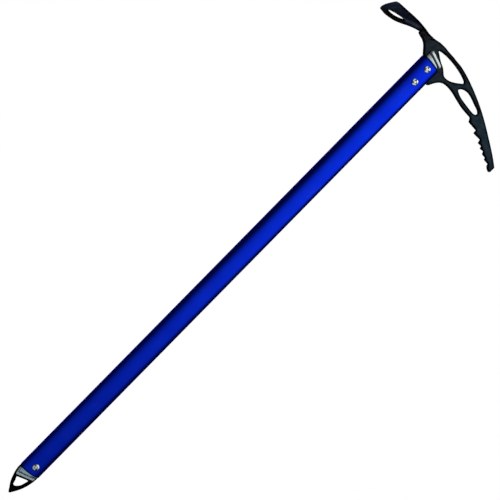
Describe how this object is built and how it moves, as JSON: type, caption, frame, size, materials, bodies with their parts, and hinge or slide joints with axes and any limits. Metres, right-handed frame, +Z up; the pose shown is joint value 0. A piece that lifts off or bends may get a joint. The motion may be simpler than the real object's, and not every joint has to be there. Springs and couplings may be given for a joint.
{
  "type": "ice axe",
  "caption": "Long straight ice axe with an oval tube shaft, a toothed curved pick, a broad adze and a flat pointed spike with an eye.",
  "frame": {"origin": "on the small flat at the point of the spike", "axes": "+Z up the shaft to the head, +X towards the pick's point (the adze is on -X), Y across the flat plates"},
  "size_m": [0.2623, 0.0671, 0.8],
  "materials": {
    "blue_anodised_aluminium": "satin blue anodised",
    "blackened_steel": "blackened, satin",
    "blackened_adze_steel": "blackened, satin",
    "weld_metal": "rippled weld, blackened",
    "cast_liner": "as cast, bare",
    "rivet_steel": "bright, worn",
    "rivet_stem_steel": "dull, broken end"
  },
  "bodies": {
    "root": {"shaft_tube": "blue_anodised_aluminium", "head_plate": "blackened_steel", "adze_blade": "blackened_adze_steel", "adze_weld_near": "weld_metal", "adze_weld_far": "weld_metal", "head_liner_near": "cast_liner", "head_liner_far": "cast_liner", "spike_plate": "blackened_steel", "spike_liner_near": "cast_liner", "spike_liner_far": "cast_liner", "head_upper_rivet_sleeve": "rivet_steel", "head_upper_rivet_stem": "rivet_stem_steel", "head_lower_rivet_sleeve": "rivet_steel", "head_lower_rivet_stem": "rivet_stem_steel", "spike_rivet_sleeve": "rivet_steel", "spike_rivet_stem": "rivet_stem_steel"}
  },
  "joints": []
}
